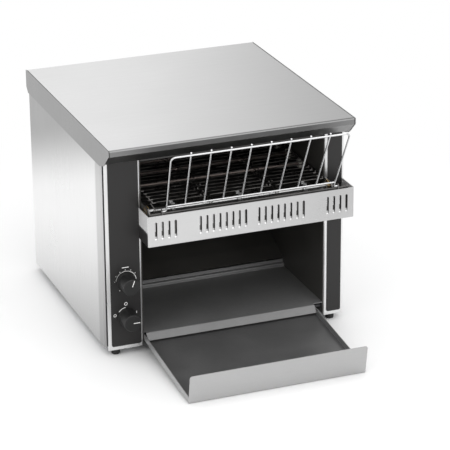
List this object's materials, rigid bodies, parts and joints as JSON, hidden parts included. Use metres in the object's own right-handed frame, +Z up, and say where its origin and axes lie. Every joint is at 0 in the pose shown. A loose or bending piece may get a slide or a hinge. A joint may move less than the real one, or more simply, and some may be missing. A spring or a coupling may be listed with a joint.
{
  "type": "conveyor toaster",
  "caption": "Countertop conveyor toaster with a wire belt, leaning feed rack, louvred front band, two control knobs and a pull-out tray.",
  "frame": {"origin": "centre of the footprint, tray out, on the worktop", "axes": "+X to the right seen from the front, +Y from the front to the back, +Z up"},
  "size_m": [0.38, 0.5634, 0.333],
  "materials": {
    "stainless": "brushed",
    "galvanised": "satin",
    "overlay_black": "satin",
    "heated_steel": "satin, heat-tinted",
    "liner_black": "matt",
    "chrome_wire": "bright",
    "tray_steel": "brushed",
    "black_plastic": "matt",
    "belt_wire": "heat-tinted",
    "shaft_steel": "turned",
    "bronze": "sintered",
    "chain_steel": "oiled",
    "cast_alloy": "cast",
    "motor_grey": "satin",
    "element_sheath": "oxidised",
    "ceramic": "glazed",
    "wool": "mineral fibre",
    "knob_black": "satin",
    "rubber": "matt",
    "zinc": "zinc-plated"
  },
  "bodies": {
    "housing": {"top_cover": "stainless", "left_side_panel": "stainless", "right_side_panel": "stainless", "rear_panel": "stainless", "base_pan": "galvanised", "left_front_post": "stainless", "right_front_post": "stainless", "control_overlay": "overlay_black", "right_overlay": "overlay_black", "front_band": "stainless", "left_conveyor_plate": "heated_steel", "right_conveyor_plate": "heated_steel", "front_cross_strip": "heated_steel", "left_liner": "liner_black", "right_liner": "liner_black", "oven_roof": "liner_black", "oven_baffle": "liner_black", "baffle_screws": "chrome_wire", "belt_shield": "liner_black", "toast_chute": "liner_black", "inner_floor": "heated_steel", "tray_runners": "galvanised", "conveyor_belt": "belt_wire", "shaft_bushes": "bronze", "drive_chain": "chain_steel", "gearbox": "cast_alloy", "drive_motor": "motor_grey", "motor_bracket": "galvanised", "upper_elements": "element_sheath", "lower_elements": "element_sheath", "element_holders": "ceramic", "insulation": "wool", "speed_control": "black_plastic", "selector_switch": "black_plastic", "fan_frame": "black_plastic", "terminal_block": "ceramic", "cord_gland": "rubber", "feet": "rubber", "foot_screws": "zinc", "panel_screws": "zinc"},
    "tray": {"extension_tray": "tray_steel", "tray_shoes": "black_plastic"},
    "rack": {"feed_rack": "chrome_wire"},
    "speed": {"speed_knob": "knob_black", "speed_spindle": "shaft_steel"},
    "selector": {"selector_knob": "knob_black", "selector_spindle": "shaft_steel"},
    "drive": {"drive_shaft": "shaft_steel", "drive_sprockets": "shaft_steel", "driven_chain_wheel": "shaft_steel"},
    "idler": {"front_shaft": "shaft_steel", "front_sprockets": "shaft_steel"},
    "motor_out": {"motor_chain_wheel": "shaft_steel"},
    "fan": {"fan_rotor": "black_plastic"}
  },
  "joints": [
    {"name": "tray_slide", "type": "slide", "parent": "housing", "child": "tray", "axis": [0, 1, 0], "range_m": [0, 0.15]},
    {"name": "rack_hinge", "type": "hinge", "parent": "housing", "child": "rack", "pos_m": [0.0245, -0.12319, 0.2325], "axis": [1, 0, 0], "range_deg": [-12, 0]},
    {"name": "speed_turn", "type": "hinge", "parent": "housing", "child": "speed", "pos_m": [-0.157, -0.08679, 0.118], "axis": [0, 1, 0], "range_deg": [-110, 170]},
    {"name": "selector_turn", "type": "hinge", "parent": "housing", "child": "selector", "pos_m": [-0.157, -0.08679, 0.0615], "axis": [0, 1, 0], "range_deg": [-180, 0]},
    {"name": "drive_turn", "type": "hinge", "parent": "housing", "child": "drive", "pos_m": [0, 0.18731, 0.228], "axis": [1, 0, 0], "continuous": true},
    {"name": "idler_turn", "type": "hinge", "parent": "housing", "child": "idler", "pos_m": [0, -0.10479, 0.228], "axis": [1, 0, 0], "continuous": true},
    {"name": "motor_turn", "type": "hinge", "parent": "housing", "child": "motor_out", "pos_m": [-0.1444, 0.18731, 0.122], "axis": [1, 0, 0], "continuous": true},
    {"name": "fan_turn", "type": "hinge", "parent": "housing", "child": "fan", "pos_m": [-0.159, 0.26321, 0.062], "axis": [0, 1, 0], "continuous": true}
  ],
  "couplings": [
    {"joint": "idler_turn", "follows": "drive_turn", "ratio": 1},
    {"joint": "motor_turn", "follows": "drive_turn", "ratio": 1}
  ]
}
